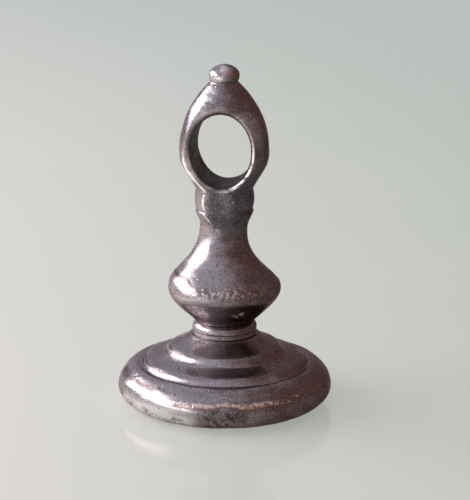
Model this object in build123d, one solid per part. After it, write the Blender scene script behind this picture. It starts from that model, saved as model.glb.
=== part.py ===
from build123d import *
import os
from math import cos, isclose, radians, sin

# Wax seal stamp in cast and turned silver: an engraved round matrix under a stepped foot, a collar,
# a hollow baluster in two halves, a banded neck, a pierced loop with filed flats, and a bead on top.
# Millimetres. The engraved face lies on Z = 0, the stem's axis is Z, and the loop's eye runs along Y.
# Radii grow outward from the stem and heights grow upward from the face, each by its own step.

# Fit of every peg, spigot and lip in its socket
SOLDER_GAP = 0.05

# Collar between foot and baluster: a full bead over a low band, parted by a crease
WAIST_RADIUS = 2.95
COLLAR_BEAD_SWELL = 0.4
COLLAR_BEAD_HEIGHT = 0.95
COLLAR_BEAD_UNDERCUT = 25
COLLAR_BAND_INSET = 0.03
COLLAR_BAND_HEIGHT = 0.35
COLLAR_BAND_SLOPE = 0.08

# Foot: a seat for the collar, then two coves and two rings stepping down to the rim
SEAT_LEDGE = 0.19
UPPER_COVE_WIDTH = 1.86
UPPER_COVE_HEIGHT = 1.08
UPPER_RING_WIDTH = 0.55
UPPER_RING_HEIGHT = 0.78
LOWER_COVE_WIDTH = 1.7
LOWER_COVE_HEIGHT = 0.5
LOWER_RING_WIDTH = 0.85
LOWER_RING_HEIGHT = 1.0
GROOVE_WIDTH = 0.55
GROOVE_DEPTH = 0.45
FOOT_WALL = 1.3
HUB_WALL = 1.2

# Rim: a full roll, parted by the solder seam a little above its widest circle
RIM_SHOULDER_WIDTH = 2.5
RIM_SHOULDER_HEIGHT = 2.65
RIM_CREST_ANGLE = 78
RIM_UNDERSIDE_WIDTH = 2.9
RIM_UNDERSIDE_HEIGHT = 1.95
RIM_SEAM_RISE = 1.05
SPIGOT_HEIGHT = 0.5

# Engraving in the face: a V-cut border round a rosette of V-cut leaves, with a pit in the middle
BORDER_MARGIN = 0.9
BORDER_WIDTH = 0.6
BORDER_DEPTH = 0.3
LEAF_COUNT = 8
LEAF_START = 1.5
LEAF_MARGIN = 0.7
LEAF_WIDTH = 1.6
LEAF_DEPTH = 0.4
CENTRE_PIT_RADIUS = 0.8
CENTRE_PIT_DEPTH = 0.4

# Baluster: hollow, in two halves that meet a little above the belly's widest circle
BELLY_SWELL = 2.85
BELLY_RISE = 3.55
BELLY_SEAM_RISE = 0.6
NECK_RADIUS = 2.42
NECK_RISE = 6.65
WAIST_FLARE = 2.0
WAIST_FLARE_ANGLE = 43
BELLY_FULLNESS = 1.1
SHOULDER_FULLNESS = 1.8
NECK_SWEEP = 4.2
BALUSTER_WALL = 1.0
BALUSTER_FLOOR = 1.5
PEG_RADIUS = 1.4
LIP_HEIGHT = 0.5
LIP_THICKNESS = 0.45

# Neck collar: an ovolo under a barrel band, with a nick between them
LOWER_BAND_SWELL = 0.56
LOWER_BAND_HEIGHT = 1.5
LOWER_BAND_FULLNESS = 0.6
BAND_NICK_HEIGHT = 0.25
BAND_NICK_DEPTH = 0.1
UPPER_BAND_SWELL = 0.14
UPPER_BAND_HEIGHT = 1.95

# Loop: a turned bud with two flats, pierced by an oval eye, on a tang
LOOP_BASE_RADIUS = 2.92
EYE_HALF_WIDTH = 3.1
EYE_HALF_HEIGHT = 3.71
EYE_ROUNDING = 0.4
EYE_ROUNDING_LIMIT = 0.85
LIMB_WIDTH = 1.48
BUD_WIDEST_DROP = 0.45
THROAT_HEIGHT = 0.55
CROWN_HEIGHT = 2.98
CROWN_RADIUS = 1.42
HIP_FLARE = 2.0
HIP_FLARE_ANGLE = 28
HIP_FULLNESS = 1.6
HANDLE_THICKNESS = 5.2
TANG_RADIUS = 1.4
TANG_SOCKET_DEPTH = 2.4

# Bead on top, with its peg
BEAD_SEAT_RADIUS = 1.38
BEAD_SWELL = 0.17
BEAD_UNDER_HEIGHT = 0.7
BEAD_DOME_HEIGHT = 1.05
BEAD_ROUNDNESS = 0.5
BEAD_PEG_RADIUS = 0.6
BEAD_PEG_LENGTH = 1.4

# Radii, stepping out from the waist to the rim, and those of the stem
collar_bead_r = WAIST_RADIUS + COLLAR_BEAD_SWELL
collar_band_r = collar_bead_r - COLLAR_BAND_INSET
seat_r = collar_band_r + SEAT_LEDGE
upper_ring_top_r = seat_r + UPPER_COVE_WIDTH
upper_ring_foot_r = upper_ring_top_r + UPPER_RING_WIDTH
lower_ring_top_r = upper_ring_foot_r + LOWER_COVE_WIDTH
groove_r = lower_ring_top_r + LOWER_RING_WIDTH
crest_r = groove_r + GROOVE_WIDTH
rim_centre_r = crest_r - RIM_SHOULDER_WIDTH * cos(radians(RIM_CREST_ANGLE))
rim_r = rim_centre_r + RIM_SHOULDER_WIDTH
face_r = rim_r - RIM_UNDERSIDE_WIDTH
border_r = face_r - BORDER_MARGIN
belly_r = WAIST_RADIUS + BELLY_SWELL
lower_band_r = NECK_RADIUS + LOWER_BAND_SWELL
upper_band_r = LOOP_BASE_RADIUS + UPPER_BAND_SWELL
bud_r = EYE_HALF_WIDTH + LIMB_WIDTH

# Sockets, each its peg plus the solder gap
peg_socket_r = PEG_RADIUS + SOLDER_GAP
tang_socket_r = TANG_RADIUS + SOLDER_GAP
bead_socket_r = BEAD_PEG_RADIUS + SOLDER_GAP
spigot_socket_r = groove_r - FOOT_WALL
lip_socket_r = belly_r - BALUSTER_WALL

# Heights, stepping up from the engraved face
widest_z = RIM_UNDERSIDE_HEIGHT
rim_seam_z = widest_z + RIM_SEAM_RISE
crest_z = widest_z + RIM_SHOULDER_HEIGHT * sin(radians(RIM_CREST_ANGLE))
groove_z = crest_z - GROOVE_DEPTH
lower_ring_top_z = groove_z + LOWER_RING_HEIGHT
upper_ring_foot_z = lower_ring_top_z + LOWER_COVE_HEIGHT
upper_ring_top_z = upper_ring_foot_z + UPPER_RING_HEIGHT
seat_z = upper_ring_top_z + UPPER_COVE_HEIGHT
foot_roof_z = seat_z - FOOT_WALL
collar_bead_z = seat_z + COLLAR_BAND_HEIGHT
waist_z = collar_bead_z + COLLAR_BEAD_HEIGHT
belly_z = waist_z + BELLY_RISE
belly_seam_z = belly_z + BELLY_SEAM_RISE
neck_top_z = belly_z + NECK_RISE
socket_floor_z = neck_top_z - TANG_SOCKET_DEPTH
lower_band_top_z = neck_top_z + LOWER_BAND_HEIGHT
upper_band_foot_z = lower_band_top_z + BAND_NICK_HEIGHT
loop_base_z = upper_band_foot_z + UPPER_BAND_HEIGHT
eye_z = loop_base_z + THROAT_HEIGHT + EYE_HALF_HEIGHT
crown_z = eye_z + EYE_HALF_HEIGHT + CROWN_HEIGHT
bead_z = crown_z + BEAD_UNDER_HEIGHT


def turned(*side):
    """Spin a side about the stem: edges drawn upward in (radius, height), then closed to the axis."""
    start = side[0] @ 0
    end = side[-1] @ 1
    outline = [*side, Line((0, end.Y), (0, start.Y)), Line((0, start.Y), start)]
    if not isclose(end.X, 0, abs_tol=1e-6):
        outline.append(Line(end, (0, end.Y)))
    return revolve(Plane.XZ * make_face(outline), Axis.Z)


def rod(radius, low, high):
    """A plain cylinder on the stem's axis between two heights."""
    return Pos(0, 0, low) * Cylinder(radius, high - low, align=(Align.CENTER, Align.CENTER, Align.MIN))


def oval(centre, width, height, start, size=90):
    """Part of an ellipse in (radius, height); a negative size runs clockwise."""
    return EllipticalCenterArc(centre, width, height, start, arc_size=size)


def leaning(point, length, angle):
    """The end of a curve's handle that leans outward from the upright."""
    return (point[0] + length * sin(radians(angle)), point[1] + length * cos(radians(angle)))


def above(solid, height):
    """The part of a solid over a level cut."""
    return split(solid, bisect_by=Plane.XY.offset(height), keep=Keep.TOP)


def below(solid, height):
    """The part of a solid under a level cut."""
    return split(solid, bisect_by=Plane.XY.offset(height), keep=Keep.BOTTOM)


def filed_flat(solid):
    """The solid between the handle's front and back flats."""
    return solid & Box(2 * rim_r, HANDLE_THICKNESS, 4 * bead_z)


def base_form():
    """Matrix and foot as turned in one, from the rim's underside up to the collar's seat."""
    return turned(
        oval((face_r, widest_z), RIM_UNDERSIDE_WIDTH, RIM_UNDERSIDE_HEIGHT, -90),
        oval((rim_centre_r, widest_z), RIM_SHOULDER_WIDTH, RIM_SHOULDER_HEIGHT, 0, RIM_CREST_ANGLE),
        Line((crest_r, crest_z), (groove_r, groove_z)),
        oval((lower_ring_top_r, groove_z), LOWER_RING_WIDTH, LOWER_RING_HEIGHT, 0),
        oval((lower_ring_top_r, upper_ring_foot_z), LOWER_COVE_WIDTH, LOWER_COVE_HEIGHT, 270, -90),
        oval((upper_ring_top_r, upper_ring_foot_z), UPPER_RING_WIDTH, UPPER_RING_HEIGHT, 0),
        oval((upper_ring_top_r, seat_z), UPPER_COVE_WIDTH, UPPER_COVE_HEIGHT, 270, -90),
    )


def baluster_side(low, wide, high):
    """The baluster's S-curve through its waist, belly and neck, its handles in step with its height."""
    rise = (wide[1] - low[1]) / BELLY_RISE
    climb = (high[1] - wide[1]) / NECK_RISE
    flare = leaning(low, rise * WAIST_FLARE, WAIST_FLARE_ANGLE)
    under = (wide[0], wide[1] - rise * BELLY_FULLNESS)
    over = (wide[0], wide[1] + climb * SHOULDER_FULLNESS)
    sweep = (high[0], high[1] - climb * NECK_SWEEP)
    return [Bezier(low, flare, under, wide), Bezier(wide, over, sweep, high)]


def baluster_form():
    """The baluster as turned in one, solid, from waist to neck."""
    return turned(*baluster_side((WAIST_RADIUS, waist_z), (belly_r, belly_z), (NECK_RADIUS, neck_top_z)))


def baluster_hollow():
    """The space inside the baluster, which runs up into the tang's socket."""
    floor_z = waist_z + BALUSTER_FLOOR
    side = baluster_side((WAIST_RADIUS, floor_z), (lip_socket_r, belly_z), (tang_socket_r, socket_floor_z))
    return turned(*side) + rod(tang_socket_r, socket_floor_z, lower_band_top_z)


def cone(radius, height):
    """An upright cone that stands on the face."""
    return Cone(radius, 0, height, align=(Align.CENTER, Align.CENTER, Align.MIN))


def leaf():
    """One leaf of the rosette along +X: a V-cut with a lens for its outline, deepest in the middle."""
    tip = border_r - BORDER_WIDTH / 2 - LEAF_MARGIN
    reach = (tip - LEAF_START) / 2
    half_width = LEAF_WIDTH / 2
    side_r = (reach**2 + half_width**2) / LEAF_WIDTH
    side = cone(side_r, side_r * LEAF_DEPTH / half_width)
    middle = LEAF_START + reach
    return Pos(middle, side_r - half_width) * side & Pos(middle, half_width - side_r) * side


def engraving():
    """All that is cut into the face."""
    low = (border_r - BORDER_WIDTH, -BORDER_DEPTH)
    vee = Polyline(low, (border_r, BORDER_DEPTH), (border_r + BORDER_WIDTH, -BORDER_DEPTH), close=True)
    border = revolve(Plane.XZ * make_face(vee), Axis.Z)
    leaves = [turn * leaf() for turn in PolarLocations(0, LEAF_COUNT)]
    return [border, cone(CENTRE_PIT_RADIUS, CENTRE_PIT_DEPTH), *leaves]


def seal_matrix():
    """The engraved plate under the rim's seam, with a spigot that centres the foot on it."""
    plate = below(base_form(), rim_seam_z)
    spigot = rod(spigot_socket_r - SOLDER_GAP, rim_seam_z, rim_seam_z + SPIGOT_HEIGHT)
    return plate + spigot - engraving()


def stepped_foot():
    """The turned foot over the rim's seam, coned out below, with a hub and a bore for the baluster's peg."""
    socket_top = (spigot_socket_r, rim_seam_z + SPIGOT_HEIGHT + SOLDER_GAP)
    hollow = turned(
        Line((spigot_socket_r, widest_z), socket_top),
        Line(socket_top, (peg_socket_r + HUB_WALL, foot_roof_z)),
    )
    return above(base_form(), rim_seam_z) - hollow - rod(peg_socket_r, rim_seam_z, waist_z)


def stem_collar():
    """The band and bead between foot and baluster, bored for the baluster's peg."""
    undercut = radians(COLLAR_BEAD_UNDERCUT)
    dome_height = COLLAR_BEAD_HEIGHT / (1 + sin(undercut))
    dome_centre = (WAIST_RADIUS, waist_z - dome_height)
    bead_foot = (WAIST_RADIUS + COLLAR_BEAD_SWELL * cos(undercut), collar_bead_z)
    band_edge = (collar_band_r, collar_bead_z - COLLAR_BAND_SLOPE)
    ring = turned(
        Line((collar_band_r, seat_z), band_edge),
        Line(band_edge, bead_foot),
        oval(dome_centre, COLLAR_BEAD_SWELL, dome_height, -COLLAR_BEAD_UNDERCUT, 90 + COLLAR_BEAD_UNDERCUT),
    )
    return ring - rod(peg_socket_r, foot_roof_z, belly_z)


def baluster_lower():
    """The lower half of the baluster, with a lip inside its seam and a peg down through collar and foot."""
    shell = below(baluster_form(), belly_seam_z) - baluster_hollow()
    lip_r = lip_socket_r - SOLDER_GAP
    lip = rod(lip_socket_r + BALUSTER_WALL / 2, belly_seam_z - LIP_HEIGHT, belly_seam_z)
    lip += rod(lip_r, belly_seam_z, belly_seam_z + LIP_HEIGHT)
    lip -= rod(lip_r - LIP_THICKNESS, waist_z, neck_top_z)
    return shell + lip + rod(PEG_RADIUS, foot_roof_z, waist_z + BALUSTER_FLOOR / 2)


def baluster_upper():
    """The upper half of the baluster, rebated for the lip and bored for the loop's tang."""
    rebate = rod(lip_socket_r, belly_z, belly_seam_z + LIP_HEIGHT + SOLDER_GAP)
    return above(baluster_form(), belly_seam_z) - baluster_hollow() - rebate


def neck_collar():
    """The two neck bands with the nick between them, filed with the handle and bored for the tang."""
    ovolo_low = (NECK_RADIUS, neck_top_z)
    ovolo_top = (lower_band_r, lower_band_top_z)
    nick = (min(lower_band_r, LOOP_BASE_RADIUS) - BAND_NICK_DEPTH, lower_band_top_z + BAND_NICK_HEIGHT / 2)
    barrel_low = (LOOP_BASE_RADIUS, upper_band_foot_z)
    barrel_wide = (upper_band_r, (upper_band_foot_z + loop_base_z) / 2)
    ring = turned(
        Bezier(ovolo_low, (lower_band_r, neck_top_z + LOWER_BAND_FULLNESS * LOWER_BAND_HEIGHT), ovolo_top),
        Line(ovolo_top, nick),
        Line(nick, barrel_low),
        ThreePointArc(barrel_low, barrel_wide, (LOOP_BASE_RADIUS, loop_base_z)),
    )
    return filed_flat(ring) - rod(tang_socket_r, socket_floor_z, eye_z)


def suspension_loop():
    """The bud-shaped loop with its eye, its tang, and a socket in the crown for the bead's peg."""
    base = (LOOP_BASE_RADIUS, loop_base_z)
    wide = (bud_r, eye_z - BUD_WIDEST_DROP)
    hip = leaning(base, HIP_FLARE, HIP_FLARE_ANGLE)
    bud = turned(
        Bezier(base, hip, (bud_r, wide[1] - HIP_FULLNESS), wide),
        TangentArc(wide, (CROWN_RADIUS, crown_z), tangent=(0, 1)),
    )
    eye_face = Plane.XZ * Pos(0, eye_z) * Ellipse(EYE_HALF_WIDTH, EYE_HALF_HEIGHT)
    loop = filed_flat(bud) - extrude(eye_face, 2 * bud_r, both=True)
    flats = loop.faces().filter_by(Plane.XZ)
    land = min(wire.distance_to(flat.outer_wire()) for flat in flats for wire in flat.inner_wires())
    mouths = [edge for flat in flats for wire in flat.inner_wires() for edge in wire.edges()]
    loop = fillet(mouths, min(EYE_ROUNDING, EYE_ROUNDING_LIMIT * land))
    loop += rod(TANG_RADIUS, socket_floor_z, loop_base_z + THROAT_HEIGHT / 2)
    return loop - rod(bead_socket_r, crown_z - BEAD_PEG_LENGTH - SOLDER_GAP, bead_z)


def finial_bead():
    """The flattened bead on the crown, with its peg."""
    wide = (BEAD_SEAT_RADIUS + BEAD_SWELL, bead_z)
    side_handle = (wide[0], bead_z + BEAD_ROUNDNESS * BEAD_DOME_HEIGHT)
    top_handle = (BEAD_ROUNDNESS * wide[0], bead_z + BEAD_DOME_HEIGHT)
    bead = turned(
        oval((BEAD_SEAT_RADIUS, bead_z), BEAD_SWELL, BEAD_UNDER_HEIGHT, -90),
        Bezier(wide, side_handle, top_handle, (0, bead_z + BEAD_DOME_HEIGHT)),
    )
    return bead + rod(BEAD_PEG_RADIUS, crown_z - BEAD_PEG_LENGTH, bead_z)


os.makedirs("parts", exist_ok=True)
export_step(seal_matrix(), "parts/seal_matrix.step")
export_step(stepped_foot(), "parts/stepped_foot.step")
export_step(stem_collar(), "parts/stem_collar.step")
export_step(baluster_lower(), "parts/baluster_lower.step")
export_step(baluster_upper(), "parts/baluster_upper.step")
export_step(neck_collar(), "parts/neck_collar.step")
export_step(suspension_loop(), "parts/suspension_loop.step")
export_step(finial_bead(), "parts/finial_bead.step")
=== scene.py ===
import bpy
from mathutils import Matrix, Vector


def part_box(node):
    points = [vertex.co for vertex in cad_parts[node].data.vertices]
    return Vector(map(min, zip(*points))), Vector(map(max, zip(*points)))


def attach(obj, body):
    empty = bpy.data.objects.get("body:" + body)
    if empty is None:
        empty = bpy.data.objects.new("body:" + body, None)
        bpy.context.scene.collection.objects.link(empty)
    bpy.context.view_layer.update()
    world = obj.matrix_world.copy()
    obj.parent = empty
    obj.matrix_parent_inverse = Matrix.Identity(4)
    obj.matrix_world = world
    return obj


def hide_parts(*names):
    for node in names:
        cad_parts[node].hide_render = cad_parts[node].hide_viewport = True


bl_info = {
    "name": "Wax Seal Stamp",
    "version": (1, 0, 0),
    "blender": (4, 5, 0),
    "location": "View3D > Sidebar > Seal",
    "description": "Dresses the CAD frame of a small silver seal as worn, tarnished metal",
    "category": "Object",
}

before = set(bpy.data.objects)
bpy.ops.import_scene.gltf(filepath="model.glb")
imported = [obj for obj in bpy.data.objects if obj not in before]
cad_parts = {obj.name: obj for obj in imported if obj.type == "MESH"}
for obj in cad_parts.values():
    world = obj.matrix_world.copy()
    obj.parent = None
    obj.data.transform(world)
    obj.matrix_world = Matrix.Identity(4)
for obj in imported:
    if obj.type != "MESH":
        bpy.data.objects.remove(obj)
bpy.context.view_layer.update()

import math

import bmesh
import bpy
from mathutils import Vector
from mathutils.geometry import interpolate_bezier

# The frame is in metres and stands on its engraved face at Z = 0, with the eye of the loop along Y.
MM = 0.001
BODY = "root"
SLOT = "tarnished_silver"

# The photograph's longer side in pixels, and the camera's sensor, in millimetres, which spans it.
IMAGE_HEIGHT = 500
SENSOR = 36.0

# A half depth that no piece reaches, for pieces without flats.
NO_FLAT = 1.0
# How long the handles of a quarter ellipse are, as a share of its radii.
QUARTER_PULL = 0.5523
# Rounds of halving that find where a curve crosses a height.
HALVINGS = 40
# Points of a mesh that are nearer than this, in metres, become one.
MERGE_DISTANCE = 1e-7
# What lies lower than this belongs to the engraved face.
FACE_LIMIT = 0.01 * MM
# Edges that bend more than this are shaded sharp.
SHARP_EDGE = math.radians(50)

# Marks of use and of painted light: degrees to the right of the front, then radius, height and size in
# millimetres.
CROWN_TARNISH = (6, 2.6, 31.2, 2.6)
LIMB_SHADE = (-75, 4.2, 29.0, 3.0)
RUBBED_AND_HIGHLIGHT_PATCHES = (
    (0, 1.2, 35.0, 1.6),
    (-58, 4.1, 24.6, 1.7),
    (-30, 1.4, 34.7, 1.2),
    (-39, 2.75, 32.0, 2.1),
)
PITTED_PATCHES = ((4, 10.8, 1.7, 1.9), (14, 10.8, 1.6, 1.7), (62, 3.0, 21.9, 0.35))
SOLDER_FLAKE = (27, 4.7, 10.55, 0.9)
NICK_SHADE = (58, 3.0, 20.5, 1.6)
BEAD_STAIN = (34, 1.5, 34.7, 0.9)

# The window's wall and its two panes in metres: their edges along Y, nearer to the camera and farther,
# and the heights of their sills and heads.
WINDOW_WALL = -0.25
PANES = {
    "window": {"near": -0.18, "far": 0.165, "sill": 0.06, "head": 0.215},
    "side_window": {"near": -0.43, "far": -0.19, "sill": 0.03, "head": 0.1},
}
TABLE_HALF = 1.5
# For the fall of light over the table: the spot under the camera, along Y, and the least way from it.
CAMERA_SPOT = -0.235
LEAST_AWAY = 0.1


def bottom(node):
    """The lowest height of a CAD node."""
    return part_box(node)[0].z


def top(node):
    """The greatest height of a CAD node."""
    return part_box(node)[1].z


def reach(node):
    """The largest radius of a CAD node that is turned about Z."""
    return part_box(node)[1].x


def rim_roll(foot):
    """The centre of the rim's upper roll, and the angle on it at which the seam runs."""
    centre = (reach("seal_matrix") - foot.shoulder_width, foot.underside_height)
    lift = math.asin((bottom("stepped_foot") - foot.underside_height) / foot.shoulder_height)
    return centre, lift


def waist_radius(stem):
    """The radius at which the collar's bead meets the baluster."""
    return reach("stem_collar") - stem.bead_swell * (1 - math.cos(stem.bead_turn))


def eye_height(handle):
    """The height of the eye's middle."""
    return top("neck_collar") + handle.throat_height + handle.eye_half_height


# Sizes that a user can change


def length(name, millimetres, description):
    """A size in the sidebar, written in millimetres."""
    return bpy.props.FloatProperty(
        name=name,
        description=description,
        default=millimetres * MM,
        min=0.0,
        precision=5,
        subtype="DISTANCE",
        unit="LENGTH",
    )


def angle(name, degrees, description):
    """An angle in the sidebar, written in degrees."""
    return bpy.props.FloatProperty(
        name=name,
        description=description,
        default=math.radians(degrees),
        subtype="ANGLE",
        unit="ROTATION",
    )


def factor(name, value, description):
    """A plain share between nought and one."""
    return bpy.props.FloatProperty(
        name=name, description=description, default=value, min=0.0, max=1.0, subtype="FACTOR"
    )


def number(name, value, description):
    """A number with no unit."""
    return bpy.props.FloatProperty(name=name, description=description, default=value)


def count(name, value, description, least=0):
    """A whole number."""
    return bpy.props.IntProperty(name=name, description=description, default=value, min=least)


def colour(name, red, green, blue, description):
    """A linear colour."""
    return bpy.props.FloatVectorProperty(
        name=name,
        description=description,
        default=(red, green, blue, 1.0),
        size=4,
        min=0.0,
        max=1.0,
        subtype="COLOR",
    )


class SealFootSizes(bpy.types.PropertyGroup):
    """The rolled rim, the steps of the foot and the engraving under it."""

    underside_width: length("Underside width", 2.9, "How far the rim's underside runs in to the face")
    underside_height: length("Underside height", 1.95, "Height of the rim's widest circle")
    shoulder_width: length("Shoulder width", 3.3, "Half width of the roll above the widest circle")
    shoulder_height: length("Shoulder height", 2.82, "Height of the roll above the widest circle")
    crest_angle: angle("Crest angle", 66.4, "Where the rim's roll breaks off into the groove")
    groove_width: length("Groove width", 0.55, "Width of the groove inside the rim's crest")
    groove_depth: length("Groove depth", 0.45, "Drop from the rim's crest into the groove")
    lower_ring_width: length("Lower ring width", 0.85, "Width of the lower ring's round")
    lower_ring_height: length("Lower ring height", 1.0, "Height of the lower ring's round")
    lower_cove_width: length("Lower cove width", 1.7, "Width of the hollow over the lower ring")
    lower_cove_height: length("Lower cove height", 0.5, "Height of the hollow over the lower ring")
    upper_ring_width: length("Upper ring width", 0.55, "Width of the upper ring's round")
    upper_ring_height: length("Upper ring height", 0.78, "Height of the upper ring's round")
    upper_cove_width: length("Upper cove width", 1.86, "Width of the hollow under the collar")
    upper_cove_height: length("Upper cove height", 1.08, "Height of the hollow under the collar")
    cove_depth: factor("Cove depth", 0.35, "How hollow the coves are, from straight to a quarter round")
    border_margin: length("Border margin", 0.9, "From the edge of the face to the middle of the border")
    border_width: length("Border width", 0.6, "Width of the V-cut border")
    border_depth: length("Border depth", 0.3, "Depth of the V-cut border")
    leaf_count: count("Leaves", 8, "Leaves of the rosette", least=1)
    leaf_start: length("Leaf start", 1.5, "Radius at which the leaves begin")
    leaf_margin: length("Leaf margin", 0.7, "From the leaves' tips to the border")
    leaf_width: length("Leaf width", 1.6, "Width of a leaf in the middle")
    leaf_depth: length("Leaf depth", 0.4, "Depth of a leaf in the middle")
    pit_radius: length("Pit radius", 0.8, "Radius of the pit in the middle")
    pit_depth: length("Pit depth", 0.4, "Depth of the pit in the middle")


class SealStemSizes(bpy.types.PropertyGroup):
    """The collar over the foot and the two halves of the baluster."""

    bead_swell: length("Bead swell", 0.69, "Half width of the collar's bead")
    bead_height: length("Bead height", 0.95, "Height of the collar's bead")
    bead_undercut: angle("Bead undercut", 25, "How far the bead turns in again over the band")
    bead_turn: angle("Bead turn", 65, "How far the bead turns in before it meets the waist")
    band_inset: length("Band inset", 0.03, "How far the collar's band stands back from its bead")
    band_slope: length("Band slope", 0.08, "Height of the slope on the band's upper edge")
    belly_rise: length("Belly rise", 3.55, "Height from the waist to the baluster's widest circle")
    waist_flare: length("Waist flare", 2.0, "Pull of the curve as it leaves the waist")
    waist_angle: angle("Waist angle", 43, "Lean of the curve as it leaves the waist")
    belly_fullness: length("Belly fullness", 1.1, "Pull of the curve under the widest circle")
    shoulder_fullness: length("Shoulder fullness", 1.8, "Pull of the curve over the widest circle")
    neck_radius: length("Neck radius", 2.42, "Radius of the baluster's top")
    neck_sweep: length("Neck sweep", 4.2, "Pull of the curve as it reaches the neck")
    sway: length("Sway", 0.32, "How far the upper half bulges to the left of true")


class SealHandleSizes(bpy.types.PropertyGroup):
    """The neck bands, the pierced loop and the bead on top."""

    lower_band_swell: length("Lower band swell", 0.56, "How far the lower band stands out")
    lower_band_height: length("Lower band height", 1.5, "Height of the lower band")
    lower_band_pull: factor("Lower band pull", 0.22, "How long the lower band is upright at its ends")
    nick_height: length("Nick height", 0.25, "Height of the nick between the bands")
    nick_depth: length("Nick depth", 0.07, "Depth of the nick between the bands")
    loop_base_radius: length("Loop base radius", 2.92, "Radius of the loop where it stands on the neck")
    eye_half_width: length("Eye half width", 3.03, "Half width of the eye")
    eye_half_height: length("Eye half height", 3.63, "Half height of the eye")
    eye_flare: length("Eye flare", 0.65, "How far a full rounding would open the eye's mouths")
    eye_flare_depth: length("Eye flare depth", 0.75, "How deep into the eye its mouths are rounded")
    eye_flare_turn: angle("Eye flare turn", 65, "How far the rounding turns before it meets the flat")
    throat_height: length("Throat height", 0.63, "Metal under the eye")
    widest_drop: length("Widest drop", 0.45, "From the eye's middle down to the bud's widest circle")
    hip_flare: length("Hip flare", 2.0, "Pull of the curve as it leaves the neck")
    hip_angle: angle("Hip angle", 28, "Lean of the curve as it leaves the neck")
    hip_fullness: length("Hip fullness", 1.6, "Pull of the curve under the widest circle")
    crown_radius: length("Crown radius", 1.42, "Radius of the bud's top, under the bead")
    arris: length("Arris", 0.35, "Softness of the edges between the flats and the round")
    neck_arris: length("Neck arris", 0.36, "Softness of the same edges on the neck bands")
    neck_taper: length("Neck taper", 0.17, "How far the flats draw in towards the neck's foot")
    crown_arris: length("Crown arris", 1.9, "Softness of the flats as they fade into the crown")
    bead_seat_radius: length("Bead seat radius", 1.38, "Radius of the bead's foot")
    bead_under_height: length("Bead under height", 0.7, "Height of the bead's widest circle")
    bead_roundness: factor("Bead roundness", 0.5, "Fullness of the bead's dome")


class SealSurface(bpy.types.PropertyGroup):
    """How finely the silver is meshed, and how worn and dented it is."""

    matrix_mesh_step: length("Matrix mesh step", 0.16, "Size of a mesh face on the matrix")
    foot_mesh_step: length("Foot mesh step", 0.128, "Size of a mesh face on the foot")
    stem_mesh_step: length("Stem mesh step", 0.11, "Size of a mesh face on the baluster")
    bead_mesh_step: length("Bead mesh step", 0.066, "Size of a mesh face on the collar and the bead")
    neck_mesh_step: length("Neck mesh step", 0.077, "Size of a mesh face on the neck bands")
    loop_mesh_step: length("Loop mesh step", 0.08, "Size of a mesh face on the loop")
    end_margin: length("End margin", 0.4, "How far the outline turns in over a joint's flat")
    wear: count("Wear", 5, "Rounds of smoothing over the edges")
    matrix_wear: count("Matrix wear", 1, "Rounds of smoothing over the engraving")
    foot_wear: count("Foot wear", 18, "Rounds of smoothing over the foot's rings")
    loop_wear: count("Loop wear", 3, "Rounds of smoothing over the loop's edges")
    edge_reach: count("Edge reach", 10, "Rounds of smoothing that find the edges", least=1)
    dent_depth: length("Dent depth", 0.06, "Depth of the soft dents")
    dent_size: length("Dent size", 3.0, "Size of the soft dents")
    pit_depth: length("Pit depth", 0.05, "Depth of the small pits")
    pit_size: length("Pit size", 0.55, "Size of the small pits")
    seed: number("Seed", 3.0, "Which dents and pits are dealt")


class SealFinish(bpy.types.PropertyGroup):
    """Colours and gloss of the tarnished silver."""

    silver: colour("Silver", 0.31, 0.267, 0.284, "Purplish grey of the worn silver")
    # The tarnish colour also carries painted shade on the seal's right side.
    tarnish: colour("Tarnish", 0.12, 0.076, 0.073, "Brown of the heavier tarnish")
    edge_tint: colour("Edge tint", 0.5, 0.45, 0.45, "The silver's reflection at a glancing angle")
    # Blue-grey used as tarnish and as painted shade on the neck and the loop's left limb.
    tarnish_and_shade: colour("Sheltered silver", 0.085, 0.075, 0.088, "Blue-grey tarnish where no hand rubs")
    # Pale silver of worn edges, also painted as highlights on the left and on the eye's lower right
    # edge.
    bare: colour("Bare silver", 0.88, 0.84, 0.83, "Pale silver where edges are rubbed bare")
    # Dark dirt, also used as painted shade in the belly's crease, on the foot's left slopes and on the
    # left of the eye's lower edge.
    dirt: colour("Dirt", 0.042, 0.03, 0.027, "Dark dirt in hollows and pits")
    # Brown of the eye's dirt, also used as painted shade along the right of the nick.
    soot: colour("Eye dirt", 0.05, 0.03, 0.025, "Brown dirt inside the eye")
    solder: colour("Solder", 0.62, 0.48, 0.43, "Pinkish line of the solder seams")
    stain: colour("Stain", 0.21, 0.095, 0.06, "Rust-brown stains")
    polish: factor("Polish", 0.14, "Roughness of the smoothest silver")
    dirt_gloss: factor("Dirt gloss", 0.1, "Gloss of what isn't metal")
    relief: factor("Relief", 0.5, "Strength of the finest unevenness")
    relief_depth: length("Relief depth", 0.05, "Depth of the finest unevenness")


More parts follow.
